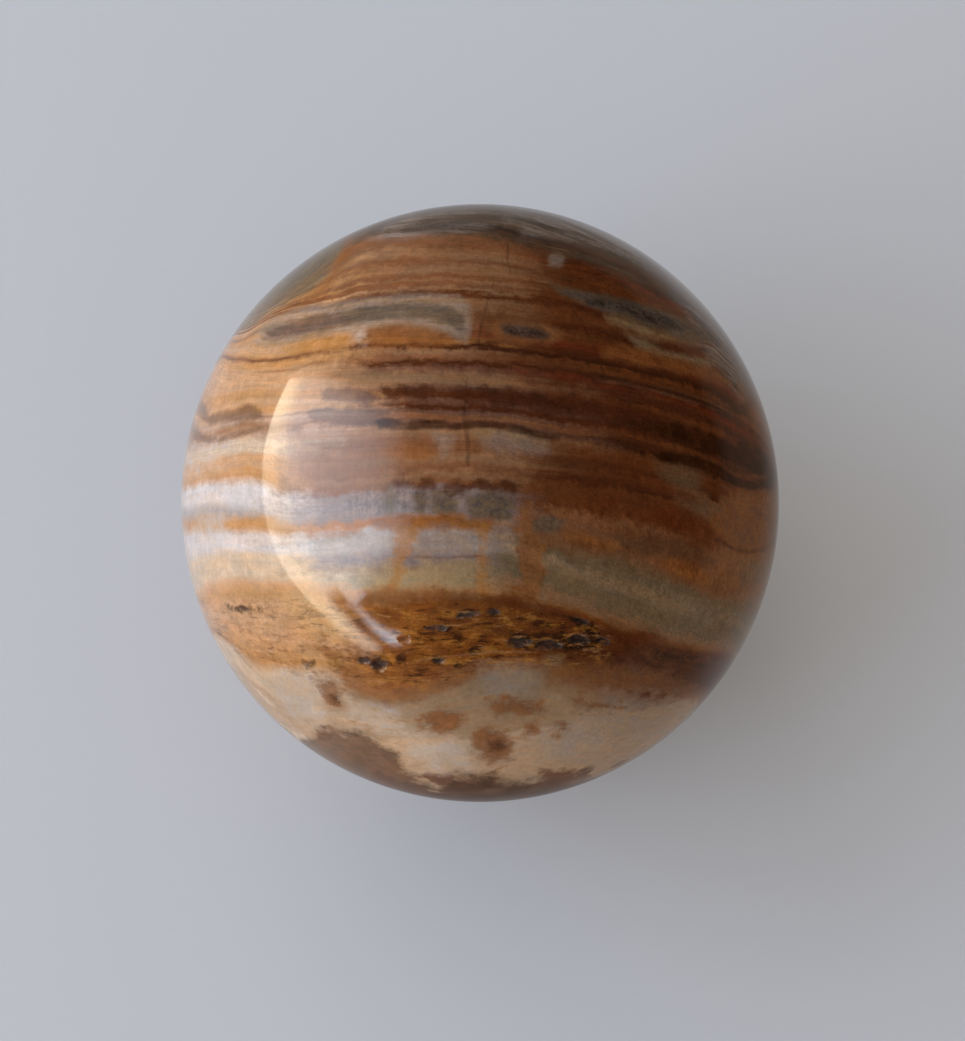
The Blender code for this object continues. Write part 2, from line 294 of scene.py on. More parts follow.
# What isn't layered, by kind
OUTLINES = {
    "rim": (
        "520,238 545,238 580,246 610,258 640,272 665,290 688,314 702,346 722,372 744,402 790,410 "
        "760,340 730,300 690,262 640,225 590,200 550,195 520,205",
        "368,240 384,226 410,214 445,206 480,196 530,196 570,206 600,226 560,228 530,226 500,222 "
        "480,228 450,232 420,236 390,240",
    ),
    "smoke": (
        "500,228 540,235 580,242 620,253 650,267 674,286 694,308 676,303 652,287 622,273 595,262 "
        "562,252 530,246 500,237",
        "405,229 430,220 470,214 500,213 500,221 470,225 430,231",
        "600,376 625,381 650,386 680,391 705,399 725,408 742,408 750,396 756,400 747,414 728,416 "
        "705,407 680,399 650,394 625,389 602,383",
    ),
    "bark": (
        "742,488 760,494 785,480 790,600 765,620 735,600 722,575 712,548 704,522 712,502 728,494",
        "618,530 645,528 675,535 705,545 722,560 718,578 700,566 675,557 645,551 620,545",
        "737,385 760,395 785,430 785,470 768,450 752,425 740,402",
        "540,664 600,660 660,670 700,686 690,698 640,694 590,688 550,680",
    ),
    "moss": (
        "545,560 580,556 620,562 650,568 690,590 720,600 775,596 770,640 735,652 700,645 660,632 "
        "620,618 580,602 545,590",
        "672,488 690,489 708,497 719,511 706,520 690,508 674,498",
    ),
    "halo": (
        "548,256 556,253 565,257 564,265 556,268 548,265",
        "250,343 262,326 274,317 300,308 337,302 370,297 400,294 440,293 462,296 470,306 472,325 "
        "467,345 458,340 448,333 425,326 400,322 370,327 340,333 310,339 276,348",
    ),
    "glow": (
        "490,330 503,320 522,319 548,325 562,335 552,343 520,343 497,340",
    ),
    "lens": (
        "335,313 358,307 385,304 410,303 432,305 452,307 463,315 466,332 456,329 444,322 425,319 "
        "400,318 375,320 345,326",
        "548,284 570,288 600,294 640,303 670,313 695,325 716,340 700,342 670,334 640,324 610,313 "
        "580,302 560,293",
    ),
    "mist": (
        "264,338 270,330 282,324 297,319 315,315 340,312 352,318 345,326 323,330 305,334 287,338 "
        "272,341",
    ),
    "shadow": (
        "499,326 508,323 522,325 540,329 553,335 545,340 525,338 506,335",
        "584,298 600,299 620,301 640,306 660,313 678,322 690,329 680,332 660,327 640,320 620,312 "
        "600,308 588,304",
    ),
    "sage": (
        "225,335 245,300 275,266 308,240 345,218 345,240 340,254 333,266 324,280 310,292 290,301 "
        "270,311 250,328",
    ),
    "tarnish": (
        "655,462 675,462 697,470 703,482 695,492 675,490 660,478",
        "340,376 370,373 410,374 450,376 480,374 510,377 505,384 470,384 430,384 390,383 350,382",
        "600,552 640,560 665,575 650,590 620,584 600,570",
        "690,598 730,605 750,622 730,634 700,622",
        "736,560 752,557 776,560 772,586 740,584",
    ),
    "straw": (
        "606,316 625,319 655,330 680,338 700,345 690,346 665,341 650,338 630,330 612,324",
        "622,332 645,340 660,350 690,356 715,362 708,366 680,360 655,354 636,346",
        "430,562 450,560 478,562 478,585 450,588 415,586 408,575",
        "470,431 490,429 520,431 548,438 530,440 500,436 475,436",
        "543,658 555,655 566,656 562,664 552,671 544,666",
    ),
    "chocolate": (
        "640,416 655,418 668,424 678,421 690,430 698,425 704,436 712,431 720,440 727,435 735,445 "
        "742,439 752,447 764,452 770,465 762,476 748,469 730,461 712,455 695,450 680,444 665,438 "
        "650,432 640,426",
        "655,454 670,452 690,455 705,459 722,466 735,476 750,482 765,480 774,466 782,470 772,487 "
        "752,490 735,485 720,477 700,469 680,464 660,462",
    ),
    "line": (
        "373,421 384,417 396,419 408,422 425,419 440,421 458,423 475,420 495,421 520,426 540,432 "
        "560,437 558,442 535,439 515,433 495,428 475,427 455,430 430,428 410,430 395,430 380,428",
    ),
    "drip": (
        "378,392 384,385 394,389 402,384 415,388 425,385 434,389 436,397 420,401 408,396 395,400 "
        "384,397",
        "450,392 462,386 474,390 486,386 500,390 512,388 524,394 540,392 556,397 575,395 600,400 "
        "625,403 650,412 640,424 610,420 580,418 560,414 540,416 520,408 500,410 484,402 470,404 "
        "456,399",
        "393,482 400,477 408,479 415,484 423,479 432,480 440,488 448,484 455,479 466,484 482,479 "
        "495,483 508,479 522,486 512,494 500,489 488,495 475,489 462,494 452,498 440,493 430,489 "
        "420,494 410,488 400,491",
    ),
    "mauve": (
        "197,396 206,403 208,416 222,412 238,409 246,404 256,405 264,413 264,418 248,421 226,422 "
        "210,425 202,420 195,408",
        "188,418 194,423 200,432 207,437 218,437 236,431 260,426 264,430 248,435 234,438 218,442 "
        "206,443 196,439 189,430",
        "320,392 332,387 350,388 368,391 376,398 368,404 350,403 335,401 322,400",
        "305,410 330,408 372,409 380,418 372,424 340,424 312,421",
        "310,634 320,629 338,630 328,636 318,643",
    ),
    "blush": (
        "292,445 330,438 375,440 395,455 400,475 380,483 340,485 300,480 285,462",
        "325,372 360,374 380,376 372,384 350,384 330,383",
    ),
    "pale": (
        "432,436 440,433 453,434 456,440 450,450 444,456 437,446",
        "478,438 495,433 515,435 530,438 548,442 549,451 538,455 515,452 500,449 485,447",
        "492,520 512,514 515,532 512,548 500,552 490,538",
        "412,536 424,530 445,530 476,533 477,552 450,556 415,553",
    ),
    "needles": (
        "345,497 370,490 395,487 420,489 426,500 423,513 405,515 380,515 345,514",
    ),
    "cloud": (
        "478,672 500,665 525,666 540,676 535,692 510,699 485,696",
        "600,690 640,696 680,700 670,730 640,750 600,760 560,764 530,740 560,722 600,715",
    ),
    "slate": (
        "385,489 391,485 394,500 392,514 385,513",
        "414,494 424,490 428,502 424,513 414,512",
        "430,495 447,493 458,497 458,512 445,515 432,512",
        "464,496 480,491 505,494 514,502 512,518 495,521 472,518",
        "532,518 550,515 563,520 561,530 545,533 533,529",
    ),
    "amber": (
        "370,519 395,515 430,515 470,516 492,520 490,530 470,529 440,528 410,533 380,528",
        "566,532 585,535 600,540 615,539 622,548 605,553 585,549 568,543",
        "662,560 680,560 700,567 715,578 724,594 712,598 702,583 685,575 668,570",
        "368,330 390,326 420,327 445,333 456,344 440,347 400,347 372,347",
        "378,452 395,444 418,443 436,447 437,458 420,461 395,460",
        "602,347 630,347 660,354 690,362 715,370 737,386 720,383 690,374 655,368 625,362 602,357",
        "338,668 380,664 430,663 475,662 478,678 450,688 420,700 390,704 365,698 345,690",
        "345,230 353,240 350,258 340,272 330,288 318,300 300,310 280,317 262,322 285,308 306,297 "
        "322,283 335,265 344,252",
    ),
    "gold": (
        "280,348 300,339 330,334 350,332 353,344 340,349 315,352 290,354",
        "226,521 250,516 272,517 281,523 262,529 235,529",
    ),
    # A pale cream patch at the seam's west end: partly the seam's pale stone, partly a painted
    # reflection of the window's warm strip
    "butter": (
        "284,592 304,590 328,600 344,614 352,632 336,644 314,640 298,624 286,608",
    ),
    "grit": (
        "190,597 300,602 360,608 480,608 540,614 590,624 612,640 612,652 580,662 520,664 480,668 "
        "430,684 380,688 330,680 280,670 240,656 205,632 190,618",
    ),
    "vein": (
        "395,526 412,527 424,530 412,545 406,560 403,575 398,594 389,588 393,572 397,555 393,540",
        "476,525 487,525 486,545 485,565 488,592 479,597 478,570 477,545",
    ),
    "seep": (
        "521,508 527,500 531,512 530,532 538,538 545,548 542,562 546,576 540,590 535,602 524,602 "
        "522,585 520,568 516,550 522,535",
        "566,533 592,537 617,543 614,553 592,549 568,540",
        "652,559 680,561 700,569 713,575 710,590 696,587 680,574",
        "717,567 731,573 729,598 715,597",
    ),
    "rust": (
        "540,254 565,258 600,268 635,284 665,304 695,330 712,345 690,333 660,318 625,304 590,296 "
        "560,287 542,276",
        "662,342 675,339 692,343 704,350 697,354 678,351 664,347",
        "535,459 560,456 590,459 620,464 650,473 662,490 640,486 610,478 580,471 550,467",
        "360,592 390,588 430,590 480,590 520,598 560,608 600,622 650,635 690,648 690,656 650,650 "
        "600,640 560,622 520,612 480,604 430,603 390,606 362,604",
    ),
    "dusk": (
        "612,530 640,530 665,536 690,541 712,552 716,566 706,571 684,562 664,556 640,556 616,546",
    ),
    "brick": (
        "590,493 620,495 650,500 680,508 705,518 724,540 715,551 690,540 660,528 630,518 600,508",
        "640,478 665,482 690,492 700,503 680,500 655,492",
        "628,634 640,630 656,633 664,640 645,643 630,640",
    ),
    "stain": (
        "472,733 486,727 503,731 513,742 509,757 494,764 478,757 472,745",
        "420,717 445,709 465,712 460,728 440,736 424,728",
        "490,704 515,697 540,702 546,711 520,716 496,714",
        "572,699 600,702 622,703 612,709 590,711 576,707",
        "318,676 332,680 340,692 342,706 330,708 322,694",
        "524,724 534,723 536,731 527,733",
        "556,725 564,723 567,730 559,733",
    ),
    "core": (
        "488,741 503,739 507,748 498,754 488,750",
        "330,695 338,694 340,702 333,704",
        "618,646 650,645 690,651 735,662 744,671 700,670 650,661",
    ),
    "cream": (
        "410,745 425,738 445,738 468,742 474,755 468,768 445,772 425,768 412,760",
        "265,678 300,673 322,685 328,712 322,724 300,722 280,706",
        "188,448 205,443 222,441 234,446 222,455 210,463 196,470 187,462",
        "197,517 224,514 224,532 210,537 197,532",
        "350,701 380,706 400,716 414,734 400,738 370,729 350,716",
        "349,330 362,327 367,334 360,341 350,339",
    ),
    "taupe": (
        "300,741 313,735 321,728 333,726 345,732 366,733 378,741 388,748 399,755 404,768 415,777 "
        "428,784 450,800 440,830 380,830 300,800 270,760",
        "440,791 450,781 465,775 495,775 512,781 541,787 575,783 605,776 600,810 520,830 440,830",
    ),
    "soot": (
        "508,634 518,630 530,634 545,632 560,630 575,634 590,630 602,634 608,642 598,648 580,649 "
        "560,651 545,648 530,651 518,648 510,641",
        "563,615 575,617 588,623 600,631 606,638 598,637 585,630 570,622",
        "371,660 380,654 389,658 391,665 386,671 377,671 372,666",
        "352,658 368,658 374,662 360,665",
        "395,656 404,655 406,662 397,663",
        "433,657 447,658 446,663 434,663",
        "452,664 463,663 465,669 454,670",
        "456,616 466,610 482,609 480,614 468,618 458,620",
        "487,607 498,607 502,615 492,615",
        "423,627 440,625 456,626 452,631 432,632",
        "451,634 462,634 464,640 453,642",
        "469,648 482,646 483,655 471,657",
        "532,621 555,621 552,627 535,627",
        "304,660 314,661 315,669 306,669",
        "226,605 240,606 263,608 261,613 240,612 228,610",
    ),
}

# How each kind of outline is filled: its minerals, the kind of its edge and how far that
# strays in pixels, how soft it is, and how strongly it covers the layers
OVERLAYS = (
    ("sage", ("sage", "slate"), "cloudy", 10, 4.0, 0.85),
    ("straw", ("straw", "sage"), "cloudy", 14, 5.0, 0.6),
    ("blush", ("tan", "mauve"), "cloudy", 40, 16.0, 0.55),
    ("rim", ("pearl", "slate"), "banded", 16, 7.0, 0.75),
    ("bark", ("amber", "mauve"), "cloudy", 34, 9.0, 0.65),
    ("moss", ("sand", "olive"), "cloudy", 34, 10.0, 0.5),
    ("tarnish", ("sage", "taupe"), "cloudy", 24, 7.0, 0.5),
    ("rust", ("maroon", "rust"), "cloudy", 20, 6.0, 0.65),
    ("dusk", ("taupe", "maroon"), "cloudy", 30, 7.0, 0.65),
    ("brick", ("brick", "rust"), "cloudy", 26, 6.0, 0.75),
    ("smoke", ("soot", "taupe"), "banded", 20, 6.0, 0.6),
    ("cream", ("cream", "pearl"), "cloudy", 40, 9.0, 0.7),
    ("cloud", ("pearl", "sand"), "cloudy", 50, 12.0, 0.65),
    ("stain", ("rust", "ochre"), "cloudy", 50, 7.0, 0.8),
    ("core", ("umber", "rust"), "speckled", 14, 4.0, 0.8),
    ("mauve", ("mauve", "taupe"), "uneven", 9, 3.0, 0.7),
    ("drip", ("chocolate", "maroon"), "uneven", 18, 4.0, 0.8),
    ("line", ("umber", "chocolate"), "uneven", 8, 2.5, 0.8),
    ("chocolate", ("umber", "chocolate"), "uneven", 8, 2.5, 0.85),
    ("pale", ("lavender", "sand"), "uneven", 20, 6.0, 0.65),
    ("needles", ("slate", "lavender"), "fibrous", 18, 6.0, 0.5),
    ("slate", ("slate", "olive"), "chunky", 18, 4.5, 0.85),
    ("amber", ("amber", "rust"), "cloudy", 22, 5.0, 0.7),
    ("gold", ("gold", "honey"), "cloudy", 16, 5.0, 0.75),
    # Partly painted reflection: the butter patch also stands in for the window's warm strip
    ("butter", ("butter", "honey"), "cloudy", 24, 8.0, 0.75),
    ("glow", ("tan", "amber"), "cloudy", 14, 6.0, 0.55),
    ("vein", ("gold", "amber"), "uneven", 26, 5.0, 0.6),
    ("seep", ("amber", "rust"), "uneven", 22, 4.0, 0.75),
    ("taupe", ("mauve", "umber"), "cloudy", 26, 6.0, 0.85),
    ("halo", ("pearl", "sage"), "streaky", 12, 4.0, 0.55),
    ("lens", ("olive", "slate"), "streaky", 8, 3.5, 0.85),
    ("mist", ("mauve", "slate"), "streaky", 10, 4.5, 0.75),
    ("shadow", ("soot", "slate"), "speckled", 6, 4.0, 0.85),
    ("soot", ("soot", "umber"), "uneven", 16, 2.5, 0.85),
)

# The seam's spots: the noise they come from, the values between which they set in, their
# mineral and how strongly it covers the ground
SEAM_SPOTS = (
    ("patches", 0.51, 0.64, "gold", 0.65),
    ("patches", 0.48, 0.40, "rust", 0.75),
    ("flecks", 0.48, 0.38, "chocolate", 0.7),
    ("flecks", 0.40, 0.34, "soot", 0.6),
    ("flecks", 0.57, 0.64, "honey", 0.5),
    ("specks", 0.67, 0.74, "umber", 0.5),
)

# Cracks and threads, the soft shades of the top and the light glints of the seam
LINES = {
    "cracks": (
        "508,245 507,258 510,270",
        "493,285 488,300 484,316 480,330 478,345",
        "466,380 466,400 464,412",
        "572,310 582,322 590,340 597,353 605,380",
    ),
    "threads": (
        "262,417 280,416 300,413 330,410",
        "258,372 275,371 295,369 318,361",
        "550,236 580,246 610,258 640,275 668,298",
        "720,540 735,550 750,553 765,549 775,545",
        "215,630 230,642 240,655 252,668",
        "625,268 640,277 655,286 664,290 668,284",
        "500,232 530,240 560,246 600,257 640,270 668,286",
        "516,650 530,648 545,652",
        "405,557 440,558 478,556",
        "345,612 370,612 400,614",
    ),
    "shades": (
        "500,232 520,236 540,240 560,243 580,249 600,257",
        "574,243 604,251 624,262 640,274 652,288",
        "604,262 630,270 650,284 660,296",
        "405,229 440,226 470,228 500,232",
        "420,222 450,217 480,216 510,220 540,226",
        "540,226 570,232 600,241 630,254",
        "690,312 705,328 718,345",
        "718,541 734,549 750,552 764,549 775,540",
        "464,410 465,425 468,440 468,452 467,462",
    ),
    "glints": (
        "420,660 440,657 465,655 490,652 530,652",
    ),
}

# How each kind of line is drawn, in this order: its mineral and its half width in pixels
LINE_STYLES = (
    ("shades", "umber", 2.0),
    ("threads", "maroon", 1.0),
    ("cracks", "umber", 0.8),
    ("glints", "tan", 0.7),
)

# How far around outlines, areas and lines their distance is kept, in pixels
OUTLINE_REACH = 40.0
AREA_REACH = 90
LINE_REACH = 30.0

# The noises that break up the layers, in the stone's bed: how fine each is to the east, across
# the layers and outwards, its detail and its roughness
BED_NOISES = {
    "swell": ((5, 6, 5), 2, 0.5),
    "ragged": ((26, 26, 26), 4, 0.65),
    "fringe": ((70, 9, 70), 3, 0.6),
    "laminae": ((2.2, 50, 2.2), 3, 0.65),
    "streak": ((11, 85, 11), 4, 0.7),
    "mottle": ((14, 18, 14), 5, 0.7),
    "haze": ((8, 11, 8), 3, 0.55),
    "grain": ((130, 130, 130), 2, 0.6),
    "bands": ((3.5, 75, 3.5), 4, 0.75),
    "chunks": ((48, 42, 48), 3, 0.75),
    "warmth": ((5, 22, 5), 4, 0.7),
}
# The same for the seam's spots, which run straight through the stone
SEAM_NOISES = {
    "patches": ((12, 30, 12), 5, 0.7),
    "flecks": ((15, 62, 15), 5, 0.68),
    "specks": ((95, 120, 95), 2, 0.5),
}

# How wide the change from one layer to the next is, and how wide it is in the soft south
EDGE = 6.0
SOFT_EDGE = 10.0
SOFT_SOUTH = 470

# The layer values between which one ramp holds the layers, because a ramp has few stops
RAMP_ENDS = (190, 258, 325, 394, 457, 502, 571, 653, 800)

# How far the two areas' soft borders reach to each side, in pixels
AREA_SOFT = 35

# The layer values between which each change in the stone's character comes in, southwards
BANDS_COME = (195, 225)
CHUNKS_COME = (385, 430)
MOTTLE_COMES = (425, 490)
BANDS_WEAKEN = (440, 490)
STREAKS_WEAKEN = (450, 490)
LAMINAE_CALM = (470, 490)
MOTTLE_ENDS = (610, 585)
GRAIN_WEAKENS = (640, 690)
CLOUDS_COME = (670, 700)
SOUTH_LIGHTENS = (680, 740)

# The same from west to east, in radii from the middle. The last two are painted shade, not the
# stone's own: the colours are painted darker towards the east, and lighter again towards the east
# rim
EDGES_TEAR = (-0.75, -0.4)
SPOTS_COME = (-0.6, -0.05)
GRAIN_COMES = (-0.4, 0.4)
PAINTED_SHADE_EAST = (-0.32, 0.05)
PAINTED_SHADE_LIFTS = (0.4, 0.85)


def traced(text):
    """The points of a run of x,y pairs."""
    return [tuple(float(value) for value in pair.split(",")) for pair in text.split()]


def photo_plane(points):
    """Where unit points of the stone's frame show in the photo, as pixel columns and rows.

    Past the rim the picture goes on outwards, so that an outline there has an end.
    """
    east, north, out = points.T
    side = np.maximum(np.hypot(east, north), 1e-9)
    angle = np.arctan2(side, out)
    seen = np.minimum(angle, RIM_ANGLE)
    reach = FOCAL_PIXELS * np.sin(seen) / (CAMERA_RADII - np.cos(seen))
    reach = reach + UNSEEN_PIXELS * (angle - seen)
    return BALL_X + reach * east / side, BALL_Y - reach * north / side


def stone_points(pixels):
    """The unit points of the stone's frame that show at these pixels."""
    across, down = np.array(pixels).T
    east, north = across - BALL_X, BALL_Y - down
    reach = np.maximum(np.hypot(east, north), 1e-9)
    ray = np.arctan(reach / FOCAL_PIXELS)
    angle = np.arcsin(np.minimum(CAMERA_RADII * np.sin(ray), 1)) - ray
    side = np.sin(angle) / reach
    return np.stack([east * side, north * side, np.cos(angle)], axis=1)


def layer_values(points):
    """A smooth layer value at each point, which meets every horizon where it was picked.

    The horizons' well seen points are mirrored to the far half, so the layers go round.
    """
    placed, values = [], []
    for value, pixels in HORIZONS:
        for point in stone_points(traced(pixels)):
            placed.append(point)
            values.append(value)
            if point[2] > 0.3:
                placed.append(point * (1, 1, -1))
                values.append(value)
    placed, values = np.array(placed), np.array(values, float)
    between = np.linalg.norm(placed[:, None] - placed[None], axis=2) ** 3
    between += 1e-4 * np.eye(len(placed))
    plane = np.hstack([np.ones((len(placed), 1)), placed])
    system = np.block([[between, plane], [plane.T, np.zeros((4, 4))]])
    weights = np.linalg.solve(system, np.append(values, np.zeros(4)))
    found = []
    for part in np.array_split(points, 40):
        far = np.linalg.norm(part[:, None] - placed[None], axis=2) ** 3
        found.append(far @ weights[:-4] + weights[-4] + part @ weights[-3:])
    return np.concatenate(found)


def to_segment(across, down, start, end):
    """Distance from each pixel to a segment, and on which side of it each lies."""
    run, rise = end[0] - start[0], end[1] - start[1]
    along = (across - start[0]) * run + (down - start[1]) * rise
    share = np.clip(along / (run * run + rise * rise), 0, 1)
    away = np.hypot(across - start[0] - share * run, down - start[1] - share * rise)
    return away, run * (down - start[1]) - rise * (across - start[0])


def near(across, down, points, reach):
    """Which pixels lie close enough to these points for a distance to matter."""
    low, high = np.min(points, axis=0) - reach, np.max(points, axis=0) + reach
    return (across > low[0]) & (across < high[0]) & (down > low[1]) & (down < high[1])


def inside_distance(across, down, outlines, reach):
    """How far each pixel lies inside the nearest of these outlines: less than 0 outside."""
    best = np.full(len(across), -reach)
    for outline in map(traced, outlines):
        chosen = near(across, down, outline, reach)
        x, y = across[chosen], down[chosen]
        distance = np.full(len(x), reach)
        inside = np.zeros(len(x), bool)
        for start, end in zip(outline, outline[1:] + outline[:1]):
            away, _ = to_segment(x, y, start, end)
            distance = np.minimum(distance, away)
            if start[1] != end[1]:
                crosses = (start[1] > y) != (end[1] > y)
                share = (y - start[1]) / (end[1] - start[1])
                inside ^= crosses & (x < start[0] + share * (end[0] - start[0]))
        best[chosen] = np.maximum(best[chosen], np.where(inside, distance, -distance))
    return best


def line_distance(across, down, lines):
    """The signed distance to the nearest line, and the plain one."""
    nearest = np.full(len(across), LINE_REACH)
    signed = nearest.copy()
    for line in map(traced, lines):
        chosen = near(across, down, line, LINE_REACH)
        x, y = across[chosen], down[chosen]
        for start, end in zip(line, line[1:]):
            away, side = to_segment(x, y, start, end)
            closer = away < nearest[chosen]
            signed[chosen] = np.where(closer, np.copysign(away, side), signed[chosen])
            nearest[chosen] = np.where(closer, away, nearest[chosen])
    return signed, nearest


def add_values(mesh, name, values, kind="FLOAT"):
    """Keeps a value or a vector for each point on the mesh."""
    attribute = mesh.attributes.new(name, kind, "POINT")
    field = "value" if kind == "FLOAT" else "vector"
    attribute.data.foreach_set(field, values.ravel().astype(np.float32))


def read_places(mesh):
    flat = np.empty(len(mesh.vertices) * 3)
    mesh.vertices.foreach_get("co", flat)
    return flat.reshape(-1, 3)


def read_points(mesh):
    """The mesh's points as unit points of the stone's frame, as if it had no pits."""
    turned = (read_places(mesh) - np.array(CENTRE)) @ np.array(STONE_AXES)
    return turned / np.linalg.norm(turned, axis=1, keepdims=True)


def edit_only(piece):
    """Opens this piece alone in edit mode."""
    bpy.ops.object.select_all(action="DESELECT")
    piece.select_set(True)
    bpy.context.view_layer.objects.active = piece
    bpy.ops.object.mode_set(mode="EDIT")


def rounded_cube():
    """A cube subdivided and pushed out to the ball, its faces evened as they round."""
    bpy.ops.object.select_all(action="DESELECT")
    bpy.ops.mesh.primitive_cube_add(size=2)
    stone = bpy.context.object
    stone.name = stone.data.name = "polished_stone"
    bpy.ops.object.mode_set(mode="EDIT")
    bpy.ops.mesh.subdivide(number_cuts=FIRST_FACES - 1)
    bpy.ops.mesh.subdivide(number_cuts=FACES_ALONG_EDGE // FIRST_FACES - 1)
    bpy.ops.object.mode_set(mode="OBJECT")
    even = np.tan(read_places(stone.data) * math.pi / 4)
    round_points = even / np.linalg.norm(even, axis=1, keepdims=True)
    placed = round_points * RADIUS + np.array(CENTRE)
    stone.data.vertices.foreach_set("co", placed.ravel())
    return stone


def grind_foot(stone):
    """Cuts the flat that the ball rests on, level with the floor."""
    edit_only(stone)
    bpy.ops.mesh.select_all(action="SELECT")
    bpy.ops.mesh.bisect(plane_co=(0, 0, 0), plane_no=(0, 0, 1), use_fill=True, clear_inner=True)
    bpy.ops.object.mode_set(mode="OBJECT")


def pit_places():
    """Each pit's middle and its axes along, across and away from the surface."""
    for pits, side in ((OUTER_PITS, 1), (FAR_PITS, -1)):
        for pit in pits:
            east, north = pit[0] * MM / RADIUS, pit[1] * MM / RADIUS
            out = side * math.sqrt(1 - east**2 - north**2)
            away = np.array((east, north, out))
            level = np.cross((0, 1, 0), away)
            level /= np.linalg.norm(level)
            upright = np.cross(away, level)
            turn = math.radians(pit[5])
            along = level * math.cos(turn) + upright * math.sin(turn)
            yield pit, away, along, np.cross(away, along)


def refine_pits(stone):
    """Gives the faces around the pits a finer grid, on the ball's surface."""
    points = read_points(stone.data)
    wanted = np.zeros(len(points), bool)
    for pit, away, along, across in pit_places():
        offset = (points - away) * RADIUS / MM
        within = np.abs(offset @ along) < pit[2] / 2 + 0.5
        wanted |= within & (np.abs(offset @ across) < pit[3] / 2 + 0.5) & (points @ away > 0)
    edit_only(stone)
    bpy.ops.mesh.select_mode(type="VERT")
    bpy.ops.mesh.select_all(action="DESELECT")
    bpy.ops.object.mode_set(mode="OBJECT")
    stone.data.vertices.foreach_set("select", wanted)
    bpy.ops.object.mode_set(mode="EDIT")
    bpy.ops.mesh.select_mode(type="FACE")
    bpy.ops.mesh.subdivide(number_cuts=2)
    bpy.ops.object.mode_set(mode="OBJECT")


def press_pits(stone):
    """Presses each pit in as an uneven bowl with a firm edge."""
    points = read_points(stone.data)
    low = np.zeros(len(points))
    for number, (pit, away, along, across) in enumerate(pit_places()):
        offset = (points - away) * RADIUS / MM
        x, y = offset @ along / (pit[2] / 2), offset @ across / (pit[3] / 2)
        bearing = np.arctan2(y, x)
        uneven = 1 + 0.14 * np.sin(3 * bearing + number) + 0.08 * np.sin(7 * bearing - number)
        share = np.clip((1 - np.hypot(x, y) / uneven) / 0.55, 0, 1)
        bowl = share * share * (3 - 2 * share) * (points @ away > 0)
        low = np.maximum(low, bowl * pit[4] * MM)
    placed = read_places(stone.data)
    outward = placed - np.array(CENTRE)
    reach = np.linalg.norm(outward, axis=1, keepdims=True)
    on_ball = placed[:, 2] > 1e-6
    wanted = np.array(CENTRE) + outward / reach * (RADIUS - low[:, None])
    placed[on_ball] = wanted[on_ball]
    placed[:, 2] = np.maximum(placed[:, 2], 0)
    stone.data.vertices.foreach_set("co", placed.ravel())
    add_values(stone.data, "pit", low / (0.4 * MM))


def record_stone(stone):
    """Keeps the layers and the distances to each area, outline and line on the mesh."""
    mesh = stone.data
    points = read_points(mesh)
    across, down = photo_plane(points)
    layers = layer_values(points)
    laid = np.stack([points[:, 0], -layers / BALL_PIXELS, points[:, 2]], axis=1)
    add_values(mesh, "layer", layers)
    add_values(mesh, "bed", laid, "FLOAT_VECTOR")
    add_values(mesh, "place", points, "FLOAT_VECTOR")
    for name, area in AREAS.items():
        add_values(mesh, name, inside_distance(across, down, [area], AREA_REACH))
    for name, outlines in OUTLINES.items():
        add_values(mesh, name, inside_distance(across, down, outlines, OUTLINE_REACH))
    for name, lines in LINES.items():
        signed, plain = line_distance(across, down, lines)
        add_values(mesh, name, signed)
        add_values(mesh, name + "_near", plain)


def colour_of(mineral):
    """A palette colour, given as it looks in bytes, as the linear one that a node takes."""
    parts = [value / 255 for value in PALETTE[mineral]]
    bent = [v / 12.92 if v <= 0.04045 else ((v + 0.055) / 1.055) ** 2.4 for v in parts]
    return (*bent, 1.0)


